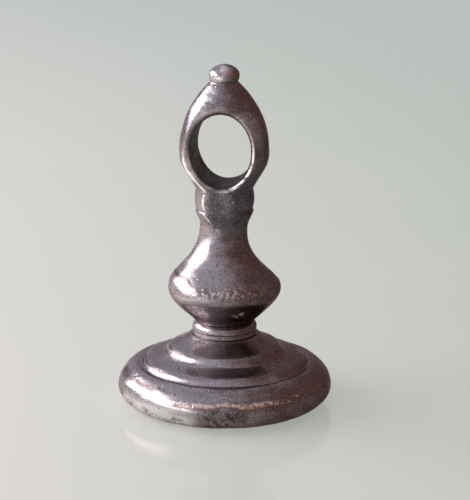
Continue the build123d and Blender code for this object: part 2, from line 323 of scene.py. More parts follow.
class SealStage(bpy.types.PropertyGroup):
    """Camera, window light and table."""

    azimuth: angle("Azimuth", 10.0, "How far round to the right the camera stands")
    elevation: angle("Elevation", 15.16, "How far the camera looks down")
    distance: length("Distance", 238.0, "From the camera to the stem")
    aim_height: length("Aim height", 16.14, "Height on the stem at the picture's middle")
    scale: number("Scale", 9.823, "Pixels for each millimetre")
    stem_offset: number("Stem offset", 10.5, "Pixels from the stem to the picture's middle")
    window_glow: number("Window glow", 8.0, "Radiance of the window")
    side_glow: number("Side glow", 1.5, "Radiance of the side window")
    near_wall: colour("Near wall", 0.76, 0.78, 0.88, "Room on the window's side")
    far_wall: colour("Far wall", 0.51, 0.42, 0.41, "Room on the other side")
    # The table's two colours blend into a painted falloff of light.
    table: colour("Table", 0.67, 0.642, 0.602, "Pale table near the window and the camera")
    table_far: colour("Table far side", 0.46, 0.50, 0.444, "Pale table far from both")
    table_glow: factor("Table glow", 0.6, "How much of the table's paleness takes no shadow")


# Node trees


def find_socket(sockets, key):
    """A socket by its number, its identifier or its name."""
    if isinstance(key, int):
        return sockets[key]
    for socket in sockets:
        if socket.identifier == key:
            return socket
    return sockets[key]


def add_node(tree, kind, settings=None, inputs=None, output=0):
    """Add a node, set it up, feed its sockets by value or wire, and hand back one output's wire."""
    node = tree.nodes.new(kind)
    for key, value in (settings or {}).items():
        setattr(node, key, value)
    for key, value in (inputs or {}).items():
        socket = find_socket(node.inputs, key)
        if isinstance(value, Wire):
            tree.links.new(value.socket, socket)
        else:
            socket.default_value = value
    return Wire(find_socket(node.outputs, output)) if node.outputs else None


class Wire:
    """A node's output. Python's operators on it add Math nodes to the same tree."""

    def __init__(self, socket):
        self.socket = socket
        self.tree = socket.id_data

    def also(self, output):
        """Another output of the same node."""
        return Wire(find_socket(self.socket.node.outputs, output))

    def reckon(self, operation, *values):
        """A Math node on any values, in this wire's tree."""
        return add_node(self.tree, "ShaderNodeMath", {"operation": operation}, dict(enumerate(values)))

    def math(self, operation, *others):
        """A Math node on this wire and other values."""
        return self.reckon(operation, self, *others)

    def vector(self, operation, *others):
        """Vector Math on this wire and other vectors."""
        output = "Value" if operation in ("DOT_PRODUCT", "DISTANCE") else "Vector"
        inputs = dict(enumerate((self, *others)))
        return add_node(self.tree, "ShaderNodeVectorMath", {"operation": operation}, inputs, output)

    def scaled(self, amount):
        """This vector times a number."""
        inputs = {0: self, "Scale": amount}
        return add_node(self.tree, "ShaderNodeVectorMath", {"operation": "SCALE"}, inputs, "Vector")

    def clamped(self):
        """This value, held between nought and one."""
        return add_node(self.tree, "ShaderNodeClamp", inputs={"Value": self})

    def larger(self, other):
        """The larger of two values."""
        return self.math("MAXIMUM", other)

    def ramp(self, low, high):
        """A smooth step from nought at low to one at high."""
        inputs = {"Value": self, "From Min": low, "From Max": high}
        return add_node(self.tree, "ShaderNodeMapRange", {"interpolation_type": "SMOOTHSTEP"}, inputs)

    def fall(self, low, high):
        """A smooth step from one at low to nought at high."""
        return 1 - self.ramp(low, high)

    def near(self, core, edge):
        """One where the value is within core of nought, fading out at edge on both sides."""
        return abs(self).fall(core, edge)

    def __add__(self, other):
        return self.math("ADD", other)

    def __radd__(self, other):
        return self.reckon("ADD", other, self)

    def __sub__(self, other):
        return self.math("SUBTRACT", other)

    def __rsub__(self, other):
        return self.reckon("SUBTRACT", other, self)

    def __mul__(self, other):
        return self.math("MULTIPLY", other)

    def __rmul__(self, other):
        return self.reckon("MULTIPLY", other, self)

    def __truediv__(self, other):
        return self.math("DIVIDE", other)

    def __rtruediv__(self, other):
        return self.reckon("DIVIDE", other, self)

    def __neg__(self):
        return self.math("MULTIPLY", -1.0)

    def __abs__(self):
        return self.math("ABSOLUTE")

    def __gt__(self, other):
        return self.math("GREATER_THAN", other)

    def __lt__(self, other):
        return self.math("LESS_THAN", other)


def split_vector(vector):
    """The three parts of a vector."""
    x = add_node(vector.tree, "ShaderNodeSeparateXYZ", inputs={0: vector}, output="X")
    return x, x.also("Y"), x.also("Z")


def join_vector(x, y, z):
    """A vector from three wires or numbers, the first of which is a wire."""
    return add_node(x.tree, "ShaderNodeCombineXYZ", inputs={"X": x, "Y": y, "Z": z})


def noise(place, size, detail, roughness, seed):
    """Noise with features of about the given size, in metres."""
    inputs = {"Vector": place, "W": seed, "Detail": detail, "Roughness": roughness}
    inputs["Scale"] = 1.0 / size
    return add_node(place.tree, "ShaderNodeTexNoise", {"noise_dimensions": "4D"}, inputs)


def mix_colour(share, first, second):
    """One colour blended into another."""
    inputs = {"Factor_Float": share, "A_Color": first, "B_Color": second}
    return add_node(share.tree, "ShaderNodeMix", {"data_type": "RGBA"}, inputs, "Result_Color")


# Outlines of turned pieces


class Outline:
    """The side of a turned piece, drawn upward in radius and height."""

    def __init__(self, radius, height):
        self.points = [(radius, height)]
        self.handles = []

    def sweep(self, leave, arrive, end):
        """A curve with its two handles."""
        self.handles.append((leave, arrive))
        self.points.append(end)
        return self

    def line(self, radius, height):
        """A straight run."""
        start = Vector(self.points[-1])
        end = Vector((radius, height))
        return self.sweep(start.lerp(end, 1 / 3), start.lerp(end, 2 / 3), end)

    def arc(self, centre, width, height, first, last):
        """Part of an ellipse, from one angle to another."""
        pull = math.tan((last - first) / 4) * 4 / 3

        def spot(turn, along):
            x = math.cos(turn) - along * math.sin(turn)
            z = math.sin(turn) + along * math.cos(turn)
            return (centre[0] + width * x, centre[1] + height * z)

        return self.sweep(spot(first, pull), spot(last, -pull), spot(last, 0))

    def cove(self, width, height, depth):
        """A hollow run inward and upward, straight at depth nought and a quarter ellipse at one."""
        start = Vector(self.points[-1])
        end = start + Vector((-width, height))
        pull = Vector((-width, height)) / 3
        leave = pull.lerp(Vector((-QUARTER_PULL * width, 0.0)), depth)
        arrive = pull.lerp(Vector((0.0, QUARTER_PULL * height)), depth)
        return self.sweep(start + leave, end - arrive, end)

    def widest(self):
        """The largest radius among the points."""
        return max(point[0] for point in self.points)

    def draw(self, name, step):
        """A curve object, radius along X and height along Z, with a point on every corner."""
        places = [Vector((radius, 0.0, height)) for radius, height in self.points]
        spots = places[:1]
        for start, pair, end in zip(places, self.handles, places[1:]):
            leave, arrive = (Vector((radius, 0.0, height)) for radius, height in pair)
            run = (leave - start).length + (arrive - leave).length + (end - arrive).length
            spots += interpolate_bezier(start, leave, arrive, end, max(1, round(run / step)) + 1)[1:]
        data = bpy.data.curves.new(name, "CURVE")
        data.dimensions = "3D"
        spline = data.splines.new("POLY")
        spline.points.add(len(spots) - 1)
        for knot, spot in zip(spline.points, spots):
            knot.co = (*spot, 1.0)
        return place_object(name, data)


def leaning(point, pull, lean):
    """The end of a handle that leans outward from the upright."""
    return (point[0] + pull * math.sin(lean), point[1] + pull * math.cos(lean))


def cut_sweep(start, leave, arrive, end, height):
    """A curve cut at a height into its lower and its upper part."""
    points = [Vector(point) for point in (start, leave, arrive, end)]
    low = 0.0
    high = 1.0
    for _ in range(HALVINGS):
        share = (low + high) / 2
        rows = [points]
        while len(rows[-1]) > 1:
            rows.append([a.lerp(b, share) for a, b in zip(rows[-1], rows[-1][1:])])
        if rows[-1][0].y < height:
            low = share
        else:
            high = share
    return [row[0] for row in rows], [row[-1] for row in reversed(rows)]


# Geometry trees


def new_form_tree(name, inputs):
    """A geometry tree with the given inputs, its geometry first, and the wires of those inputs."""
    tree = bpy.data.node_groups.new(name, "GeometryNodeTree")
    tree.interface.new_socket("Geometry", in_out="OUTPUT", socket_type="NodeSocketGeometry")
    tree.interface.new_socket("Geometry", in_out="INPUT", socket_type="NodeSocketGeometry")
    for label, kind in inputs.items():
        tree.interface.new_socket(label, in_out="INPUT", socket_type=kind)
    entry = tree.nodes.new("NodeGroupInput")
    wires = {socket.name: Wire(socket) for socket in entry.outputs if socket.name}
    return tree, wires


def end_form_tree(tree, geometry):
    """Lead a geometry to the tree's output."""
    add_node(tree, "NodeGroupOutput", inputs={"Geometry": geometry})


def move_points(mesh, **where):
    """Move a mesh's points to a Position or by an Offset."""
    return add_node(mesh.tree, "GeometryNodeSetPosition", inputs={"Geometry": mesh, **where})


def note_points(mesh, name, value):
    """Note a number at each point of a mesh as an attribute."""
    settings = {"data_type": "FLOAT", "domain": "POINT"}
    inputs = {"Geometry": mesh, "Name": name, "Value": value}
    return add_node(mesh.tree, "GeometryNodeStoreNamedAttribute", settings, inputs)


def turned_tree():
    """Spin an outline about Z, file it flat at front and back, and let it sway to the left."""
    kinds = {
        "Steps Around": "NodeSocketInt",
        "Flat": "NodeSocketFloat",
        "Arris": "NodeSocketFloat",
        "Top Arris": "NodeSocketFloat",
        "Taper": "NodeSocketFloat",
        "Sway": "NodeSocketFloat",
        "Held Rows": "NodeSocketInt",
    }
    tree, given = new_form_tree("Turned silver", kinds)
    side = given["Geometry"]
    settings = {"component": "CURVE"}
    kind = "GeometryNodeAttributeDomainSize"
    along = add_node(tree, kind, settings, {"Geometry": side}, "Point Count")

    # A sheet that is rolled up: one row for each point of the outline, and a row at each pole.
    columns = given["Steps Around"] + 1
    grid = {"Size X": 1.0, "Size Y": 1.0, "Vertices X": columns, "Vertices Y": along + 2}
    sheet = add_node(tree, "GeometryNodeMeshGrid", inputs=grid, output="Mesh")
    place = add_node(tree, "GeometryNodeInputPosition")
    across, up, _ = split_vector(place)
    turn = (across + 0.5) * math.tau
    row = ((up + 0.5) * (along + 1)).math("ROUND")
    share = ((row - 1) / (along - 1)).clamped()
    settings = {"data_type": "FLOAT_VECTOR", "domain": "POINT", "clamp": True}
    inputs = {"Geometry": side, "Value": place, "Index": row - 1}
    radius, _, height = split_vector(add_node(tree, "GeometryNodeSampleIndex", settings, inputs))
    radius = radius * (row > 0.5) * (row < along + 0.5)
    x = radius * turn.math("COSINE")
    y = radius * turn.math("SINE")

    # The arris softens over the upper half, and the flats draw in towards the foot.
    arris = given["Arris"] + (given["Top Arris"] - given["Arris"]) * share.ramp(0.5, 0.9)
    flat = given["Flat"] - given["Taper"] * (1 - share)
    y = y.math("SIGN") * abs(y).math("SMOOTH_MIN", flat, arris)
    x = x - given["Sway"] * (share * math.pi).math("SINE")

    # The rows at both ends are held, so that wear leaves the flats of the joints alone.
    held = 1 - (row > given["Held Rows"] + 0.5) * (row < along - given["Held Rows"] + 0.5)
    sheet = note_points(sheet, "held", held)
    sheet = move_points(sheet, Position=join_vector(x, y, height))
    inputs = {"Geometry": sheet, "Distance": MERGE_DISTANCE}
    end_form_tree(tree, add_node(tree, "GeometryNodeMergeByDistance", inputs=inputs))
    return tree


def rosette_tree():
    """Press a ring of V-cut leaves up into a flat face at Z = 0."""
    kinds = {
        "Leaves": "NodeSocketInt",
        "Start": "NodeSocketFloat",
        "Tip": "NodeSocketFloat",
        "Width": "NodeSocketFloat",
        "Depth": "NodeSocketFloat",
    }
    tree, given = new_form_tree("Rosette", kinds)
    x, y, z = split_vector(add_node(tree, "GeometryNodeInputPosition"))
    radius = (x * x + y * y).math("SQRT")
    turn = y.math("ARCTAN2", x)
    step = math.tau / given["Leaves"]
    turn = turn - step * (turn / step).math("ROUND")
    half = given["Width"] / 2
    length_half = (given["Tip"] - given["Start"]) / 2
    bow = (length_half * length_half + half * half) / given["Width"]
    ahead = radius * turn.math("COSINE") - given["Start"] - length_half
    aside = abs(radius * turn.math("SINE")) + bow - half
    inside = bow - (ahead * ahead + aside * aside).math("SQRT")
    depth = inside.larger(0.0) * given["Depth"] / half * (z < FACE_LIMIT)
    shift = join_vector(depth * 0.0, 0.0, depth)
    end_form_tree(tree, move_points(given["Geometry"], Offset=shift))
    return tree


def worn_tree():
    """Soften edges, press in dents and pits, and note how proud and how level each point is, with a
    painted highlight strip on the left edges of the flats.
    """
    kinds = {
        "Wear": "NodeSocketInt",
        "Edge Reach": "NodeSocketInt",
        "Dent Depth": "NodeSocketFloat",
        "Dent Size": "NodeSocketFloat",
        "Pit Depth": "NodeSocketFloat",
        "Pit Size": "NodeSocketFloat",
        "Seed": "NodeSocketFloat",
        "Flat": "NodeSocketFloat",
        "Material": "NodeSocketMaterial",
    }
    tree, given = new_form_tree("Worn silver", kinds)
    place = add_node(tree, "GeometryNodeInputPosition")
    normal = add_node(tree, "GeometryNodeInputNormal")
    x, y, z = split_vector(place)
    _, facing, level = split_vector(normal)
    kind = "GeometryNodeInputNamedAttribute"
    free = 1 - add_node(tree, kind, {"data_type": "FLOAT"}, {"Name": "held"}, "Attribute")

    def blurred(rounds):
        inputs = {"Value": place, "Iterations": rounds, "Weight": free}
        return add_node(tree, "GeometryNodeBlurAttribute", {"data_type": "FLOAT_VECTOR"}, inputs)

    mesh = move_points(given["Geometry"], Position=blurred(given["Wear"]))

    # The flats' edges on the left of the neck and the hips are added in as a painted highlight strip,
    # which the finish turns pale.
    proud = place.vector("SUBTRACT", blurred(given["Edge Reach"])).vector("DOT_PRODUCT", normal) / MM
    arris = (abs(y) / given["Flat"]).ramp(0.84, 0.94) * abs(facing).fall(0.9, 0.99)
    arris = arris * (x / MM).fall(-1.2, 0.0) * (z / MM).fall(25.5, 28.0)
    mesh = note_points(mesh, "proud", (proud + arris * 0.06) * free)
    mesh = note_points(mesh, "level", level)

    # Dents press straight in, and only sideways where a piece meets its neighbour.
    dents = noise(place, given["Dent Size"], 1.0, 0.4, given["Seed"]).ramp(0.3, 0.75)
    pits = noise(place, given["Pit Size"], 1.0, 0.5, given["Seed"] + 1).ramp(0.66, 0.8)
    depth = dents * given["Dent Depth"] + pits * given["Pit Depth"]
    outward = join_vector(x, y, 0.0).vector("NORMALIZE")
    inputs = {"Factor_Float": free, "A_Vector": outward, "B_Vector": normal}
    flush = add_node(tree, "ShaderNodeMix", {"data_type": "VECTOR"}, inputs, "Result_Vector")
    mesh = move_points(mesh, Offset=flush.scaled(-depth))

    mesh = add_node(tree, "GeometryNodeSetShadeSmooth", inputs={"Geometry": mesh})
    sharp = add_node(tree, "GeometryNodeInputMeshEdgeAngle") > SHARP_EDGE
    inputs = {"Geometry": mesh, "Selection": sharp, "Shade Smooth": False}
    mesh = add_node(tree, "GeometryNodeSetShadeSmooth", {"domain": "EDGE"}, inputs)
    mesh = add_node(tree, "GeometryNodeRealizeInstances", inputs={"Geometry": mesh})
    inputs = {"Geometry": mesh, "Material": given["Material"]}
    end_form_tree(tree, add_node(tree, "GeometryNodeSetMaterial", inputs=inputs))
    return tree


# Making pieces


def place_object(name, data):
    """A new object at the origin."""
    made = bpy.data.objects.new(name, data)
    bpy.context.scene.collection.objects.link(made)
    return made


def run_tree(piece, build_tree, values):
    """Hang a geometry tree on a piece, with its inputs set by identifier."""
    name = build_tree.__name__
    tree = bpy.data.node_groups.get(name)
    if tree is None:
        tree = build_tree()
        tree.name = name
    modifier = piece.modifiers.new(name, "NODES")
    modifier.node_group = tree
    for item in tree.interface.items_tree:
        if item.in_out == "INPUT" and item.name in values:
            modifier[item.identifier] = values[item.name]


def settled(piece):
    """The plain mesh that a piece's modifiers give, in an object that takes the piece's place."""
    graph = bpy.context.evaluated_depsgraph_get()
    mesh = bpy.data.meshes.new_from_object(piece.evaluated_get(graph))
    name = piece.name
    bpy.data.objects.remove(piece)
    mesh.name = name
    return place_object(name, mesh)


def turn_piece(name, outline, step, flat=NO_FLAT, arris=0.0, top_arris=0.0, taper=0.0, sway=0.0):
    """Spin an outline into a mesh with faces of about the given size."""
    blank = outline.draw(name, step)
    values = {
        "Steps Around": round(math.tau * outline.widest() / step),
        "Flat": flat,
        "Arris": arris,
        "Top Arris": top_arris,
        "Taper": taper,
        "Sway": sway,
        "Held Rows": math.ceil(bpy.context.scene.seal_surface.end_margin / step) + 1,
    }
    run_tree(blank, turned_tree, values)
    return settled(blank)


def cut_square(piece, height, kept):
    """Cut a piece off level, keep what lies over the cut (1) or under it (-1), and close it there."""
    form = bmesh.new()
    form.from_mesh(piece.data)
    cut = bmesh.ops.bisect_plane(
        form,
        geom=[*form.verts, *form.edges, *form.faces],
        plane_co=(0.0, 0.0, height),
        plane_no=(0.0, 0.0, kept),
        clear_inner=True,
    )
    rim = [part for part in cut["geom_cut"] if isinstance(part, bmesh.types.BMEdge)]
    floor = bmesh.ops.edgeloop_fill(form, edges=rim)["faces"]
    bmesh.ops.recalc_face_normals(form, faces=form.faces)
    for face in floor:
        for edge in face.edges:
            edge.smooth = False
    form.to_mesh(piece.data)
    form.free()


def finish_piece(piece, node, wear, flat=NO_FLAT, low=None, high=None):
    """Wear a piece, cut it square at its ends if asked, and let it stand for its CAD node."""
    surface = bpy.context.scene.seal_surface
    values = {
        "Wear": wear,
        "Edge Reach": surface.edge_reach,
        "Dent Depth": surface.dent_depth,
        "Dent Size": surface.dent_size,
        "Pit Depth": surface.pit_depth,
        "Pit Size": surface.pit_size,
        "Seed": surface.seed,
        "Flat": flat,
        "Material": silver_material(),
    }
    run_tree(piece, worn_tree, values)
    piece = settled(piece)
    if low is not None:
        cut_square(piece, low, 1)
    if high is not None:
        cut_square(piece, high, -1)
    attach(piece, BODY)
    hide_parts(node)


# Tarnished silver


def new_material(name):
    """A material with an empty tree."""
    material = bpy.data.materials.new(name)
    material.use_nodes = True
    material.node_tree.nodes.clear()
    return material


def silver_material():
    """The tarnished silver that every piece shares."""
    material = bpy.data.materials.get(SLOT + "_worn")
    if material is None:
        material = tarnished_silver(SLOT + "_worn")
    return material


class Spot:
    """What the layers of the finish read: a spot's place in millimetres, its wear and its noise."""

    def __init__(self, tree):
        handle = bpy.context.scene.seal_handle
        self.place = add_node(tree, "ShaderNodeTexCoord", output="Object")
        x, y, z = split_vector(self.place)
        self.x = x / MM
        self.y = y / MM
        self.z = z / MM
        self.radius = (self.x * self.x + self.y * self.y).math("SQRT")
        # From about one at the seal's right to minus one at its left, and the other way round.
        self.right = self.x / (self.radius + 0.1)
        self.left = -self.right

        # The eye's oval is one at its wall, and the depth is one at the flats.
        self.over_eye = self.z - eye_height(handle) / MM
        across = self.x / (handle.eye_half_width / MM)
        upward = self.over_eye / (handle.eye_half_height / MM)
        self.oval = across * across + upward * upward
        self.depth = abs(self.y) / (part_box("suspension_loop")[1].y / MM)

        # What the worn tree notes at each point of a mesh.
        self.proud = add_node(tree, "ShaderNodeAttribute", {"attribute_name": "proud"}, output="Fac")
        self.level = add_node(tree, "ShaderNodeAttribute", {"attribute_name": "level"}, output="Fac")

        # From broad clouds down to grain, and then the crumbs of solder and the rings of the lathe.
        self.cloud = noise(self.place, 6.0 * MM, 3.0, 0.55, 1.0)
        self.mottle = noise(join_vector(x * 0.7, y * 0.7, z * 1.4), 1.1 * MM, 4.0, 0.6, 2.0)
        self.grain = noise(self.place, 0.16 * MM, 2.0, 0.6, 3.0)
        self.crumbs = noise(self.place, 0.35 * MM, 1.0, 0.5, 6.0)
        self.turning = noise(join_vector(x * 0.05, y * 0.05, z), 0.12 * MM, 2.0, 0.6, 8.0)

    def mark(self, turn, radius, height, size):
        """A patch on the metal that fades to its edge, at a turn to the right of the front."""
        turn = math.radians(turn)
        centre = (radius * math.sin(turn) * MM, -radius * math.cos(turn) * MM, height * MM)
        return (self.place.vector("DISTANCE", centre) / (size * MM)).fall(0.3, 1.0)

    def marks(self, places):
        """Several such patches as one."""
        first, *others = [self.mark(*place) for place in places]
        return sum(others, first).clamped()


def tarnish_and_right_shade(spot):
    """Brown tarnish in clouds, on the foot's steps and on the crown's front, and painted shade that
    darkens the right side.
    """
    foot = spot.z.fall(7.0, 8.0)
    steps = spot.z.ramp(4.4, 5.0) * foot
    # Painted shade: the right side is darkened, more so on the foot.
    shade_on_right = spot.right * (0.34 + foot * 0.12)
    amount = spot.cloud + (spot.mottle - 0.5) * 0.6 + shade_on_right + steps * 0.13
    return (amount + spot.mark(*CROWN_TARNISH) * 0.2).ramp(0.42, 0.88)


def neck_tarnish_and_shade(spot):
    """Blue-grey tarnish on the neck, partly painted shade, fading out towards the left where the
    window's light falls.
    """
    neck = spot.z.ramp(17.5, 20.0) * spot.z.fall(22.5, 27.0)
    return neck * spot.cloud.ramp(0.25, 0.5) * spot.right.ramp(-0.85, -0.25)


def limb_shade(spot):
    """Painted shade in the same blue-grey, which dims the window's reflection on the loop's left limb.
    """
    return spot.mark(*LIMB_SHADE) * (0.5 + 0.3 * spot.mottle.ramp(0.3, 0.6))


def rubbed_and_highlit(spot):
    """Pale silver: wear on proud edges, and wear with painted highlights on the rim's left, the handle
    and the eye's lower right edge.
    """
    edges = (spot.proud + (spot.mottle - 0.5) * 0.06 + (spot.grain - 0.5) * 0.06).ramp(0.03, 0.1)
    # Painted highlight: the rim's streak and its underside are pale only on the left, where the
    # window's light falls.
    rim = spot.left.ramp(0.0, 0.25) * spot.radius.ramp(8.6, 9.4)
    streak = (spot.z - 2.4 + spot.right * 1.05).near(0.1, 0.5) * spot.right.ramp(-0.88, -0.7)
    streak = streak * (spot.mottle + (spot.grain - 0.5) * 0.6).ramp(0.3, 0.52)
    under = spot.z.fall(1.2, 2.7) * (spot.mottle + (spot.grain - 0.5) * 0.8).ramp(0.28, 0.52)
    # Painted highlights, with some wear, on the bead, the crown's left and the left limb's ridge.
    handle_wear_and_highlights = spot.marks(RUBBED_AND_HIGHLIGHT_PATCHES) * spot.mottle.ramp(0.4, 0.6) * 0.6
    # Painted highlight on the eye's lower right edge.
    mouth = (spot.oval - 1.24).near(0.05, 0.14) * spot.depth.ramp(0.8, 0.9)
    mouth = mouth * spot.over_eye.fall(-0.5, 2.0) * spot.x.ramp(-1.0, 1.0)
    mouth = mouth * spot.mottle.ramp(0.36, 0.5) * 0.7
    return edges.larger(streak.larger(under) * rim).larger(handle_wear_and_highlights).larger(mouth)


def eye_dirt(spot):
    """Brown dirt on the eye's wall."""
    wall = spot.oval.fall(1.0, 1.25) * spot.depth.fall(0.86, 1.0)
    return wall * (0.9 + 0.1 * spot.mottle.ramp(0.4, 0.6))


def solder_seams(spot):
    """Two seams, at the rim and the belly: solder, a flake of it, the rim's gap and lost solder."""
    front = (spot.right - 0.15).near(0.35, 0.75) * spot.y.fall(-1.0, 1.0)
    wander = (noise(spot.place, 1.5 * MM, 3.0, 0.65, 5.0) - 0.5) * 0.9
    over_rim = spot.z - bottom("stepped_foot") / MM + wander
    over_belly = spot.z - bottom("baluster_upper") / MM + wander
    rim = over_rim.near(0.05, 0.3) * (front * 0.3 + spot.crumbs).ramp(0.66, 0.8)
    belly = (over_belly - 0.1).near(0.1, 0.75) * front
    flake = spot.mark(*SOLDER_FLAKE) * spot.crumbs.ramp(0.48, 0.58)
    solder = rim + belly * spot.crumbs.ramp(0.5, 0.6) * 0.65 + flake * 0.8
    gap = (over_rim + 0.25).near(0.04, 0.16) * front
    lost = belly * (1 - spot.crumbs).ramp(0.48, 0.58)
    return solder, flake, gap, lost


def belly_crease_shade(spot):
    """Painted shade along a crease on the left of the belly, which climbs towards the outline and parts
    the window's highlight.
    """
    height = 13.4 + spot.left.ramp(0.4, 0.62) * 0.6
    return (spot.z - height).near(0.0, 0.3) * spot.left.ramp(0.36, 0.5)


def shaded_slopes(spot):
    """Painted shade on the foot's slopes at the left, which trims the window's highlights, and on the
    left of the eye's lower edge.
    """
    slopes = spot.level.ramp(0.52, 0.64) * spot.level.fall(0.7, 0.85) * spot.z.fall(7.4, 7.6)
    slopes = slopes * spot.left.ramp(0.2, 0.6) * spot.mottle.ramp(0.3, 0.5) * 0.75
    lip = spot.oval.fall(1.15, 1.35) * spot.over_eye.fall(-3.5, -2.0) * spot.x.fall(0.0, 1.5) * 0.6
    return (slopes + lip).clamped()


def dark_specks(spot):
    """Small dark pits, strewn where the tarnish clouds and thick in a few patches."""
    strewn = noise(spot.place, 0.5 * MM, 2.0, 0.5, 14.0).ramp(0.66, 0.74) * spot.cloud.ramp(0.35, 0.6)
    thick = noise(spot.place, 0.5 * MM, 2.0, 0.6, 9.0).ramp(0.46, 0.58) * spot.marks(PITTED_PATCHES)
    return strewn.larger(thick)


def nick_shade(spot):
    """Painted shade along the right of the nick between the neck bands."""
    nick = spot.mark(*NICK_SHADE) * (spot.z - NICK_SHADE[2]).near(0.15, 0.5)
    return nick * spot.mottle.ramp(0.3, 0.5)


def tarnished_silver(name):
    """Silver with brown tarnish, edges rubbed pale, dirt in hollows and pinkish solder seams, with
    painted shade and painted highlights among the layers.
    """
    finish = bpy.context.scene.seal_finish
    material = new_material(name)
    tree = material.node_tree
    spot = Spot(tree)
    # This tarnish mask also holds painted shade on the right side.
    tarnish = tarnish_and_right_shade(spot)
    soot = eye_dirt(spot)
    solder, flake, gap, lost = solder_seams(spot)
    crease = belly_crease_shade(spot)
    hollow = (-spot.proud + (spot.mottle - 0.5) * 0.05).ramp(0.05, 0.13)
    specks = dark_specks(spot)

    # Each layer covers what comes before it. Some layers are painted light: shade on the right, the
    # neck, the limb, the crease, the foot's left slopes and the nick, and highlights among the rubbed
    # silver.
    layers = (
        (tarnish, finish.tarnish),
        (neck_tarnish_and_shade(spot), finish.tarnish_and_shade),
        (spot.grain.ramp(0.46, 0.66) * 0.5, finish.dirt),
        (rubbed_and_highlit(spot), finish.bare),
        ((1 - spot.grain).ramp(0.56, 0.68) * 0.12, finish.bare),
        (soot, finish.soot),
        (gap * 0.7, finish.stain),
        (lost * 0.7, finish.tarnish),
        (solder.clamped() * 0.85, finish.solder),
        (crease * 0.75, finish.dirt),
        (limb_shade(spot), finish.tarnish_and_shade),
        (shaded_slopes(spot), finish.dirt),
        (hollow * 0.6, finish.dirt),
        (specks * 0.8, finish.dirt),
        (nick_shade(spot) * 0.85, finish.soot),
        (spot.mark(*BEAD_STAIN) * spot.mottle.ramp(0.36, 0.58) * 0.5, finish.stain),
    )
    tint = finish.silver
    for share, cover in layers:
        tint = mix_colour(share, tint, cover)

    matte = (spot.grain * 0.6 + spot.mottle * 0.4).ramp(0.4, 0.62)
    rough = finish.polish + tarnish * 0.05 + matte * 0.28 + (hollow + specks) * 0.2 + soot * 0.4
    uneven = spot.mottle * 0.4 + spot.grain * 0.3 + spot.turning * 0.08
    uneven = uneven - specks * 0.5 + solder * 0.8 - crease * 0.3
    relief = {"Strength": finish.relief, "Distance": finish.relief_depth, "Height": uneven}
    inputs = {
        "Base Color": tint,
        "Metallic": 1 - soot - flake * 0.7,
        "Roughness": rough,
        "Normal": add_node(tree, "ShaderNodeBump", inputs=relief),
        "Specular Tint": finish.edge_tint,
        "Specular IOR Level": finish.dirt_gloss,
    }
    shader = add_node(tree, "ShaderNodeBsdfPrincipled", inputs=inputs)
    add_node(tree, "ShaderNodeOutputMaterial", inputs={"Surface": shader})
    return material


# Operators


class SEAL_OT_matrix(bpy.types.Operator):
    """Make the engraved plate under the rim's seam"""

    bl_idname = "seal.matrix"
    bl_label = "Seal Matrix"

    def execute(self, context):
        sizes = context.scene.seal_foot
        surface = context.scene.seal_surface
        face = reach("seal_matrix") - sizes.underside_width
        border = face - sizes.border_margin
        half = sizes.border_width / 2
        low = (face, sizes.underside_height)
        centre, lift = rim_roll(sizes)
        side = Outline(0.0, sizes.pit_depth)
        side.line(sizes.pit_radius, 0.0).line(border - half, 0.0)
        side.line(border, sizes.border_depth).line(border + half, 0.0).line(face, 0.0)
        side.arc(low, sizes.underside_width, sizes.underside_height, -math.pi / 2, 0)
        side.arc(centre, sizes.shoulder_width, sizes.shoulder_height, 0, lift)
        side.line(side.points[-1][0] - surface.end_margin, bottom("stepped_foot"))
        plate = turn_piece("matrix", side, surface.matrix_mesh_step)
        values = {
            "Leaves": sizes.leaf_count,
            "Start": sizes.leaf_start,
            "Tip": border - half - sizes.leaf_margin,
            "Width": sizes.leaf_width,
            "Depth": sizes.leaf_depth,
        }
        run_tree(plate, rosette_tree, values)
        finish_piece(settled(plate), "seal_matrix", surface.matrix_wear)
        return {"FINISHED"}


class SEAL_OT_foot(bpy.types.Operator):
    """Make the stepped foot between the rim's seam and the collar"""

    bl_idname = "seal.foot"
    bl_label = "Stepped Foot"

    def execute(self, context):
        sizes = context.scene.seal_foot
        surface = context.scene.seal_surface
        seam = bottom("stepped_foot")
        centre, lift = rim_roll(sizes)
        seam_radius = centre[0] + sizes.shoulder_width * math.cos(lift)
        side = Outline(seam_radius - surface.end_margin, seam).line(seam_radius, seam)
        side.arc(centre, sizes.shoulder_width, sizes.shoulder_height, lift, sizes.crest_angle)
        crest = side.points[-1]
        side.line(crest[0] - sizes.groove_width, crest[1] - sizes.groove_depth)
        rings = (
            (sizes.lower_ring_width, sizes.lower_ring_height),
            (sizes.upper_ring_width, sizes.upper_ring_height),
        )
        coves = (
            (sizes.lower_cove_width, sizes.lower_cove_height),
            (sizes.upper_cove_width, sizes.upper_cove_height),
        )
        for ring, cove in zip(rings, coves):
            radius, height = side.points[-1]
            side.arc((radius - ring[0], height), *ring, 0, math.pi / 2)
            side.cove(*cove, sizes.cove_depth)
        radius, height = side.points[-1]
        side.line(radius - surface.end_margin, height)
        foot = turn_piece("foot", side, surface.foot_mesh_step)
        finish_piece(foot, "stepped_foot", surface.foot_wear)
        return {"FINISHED"}


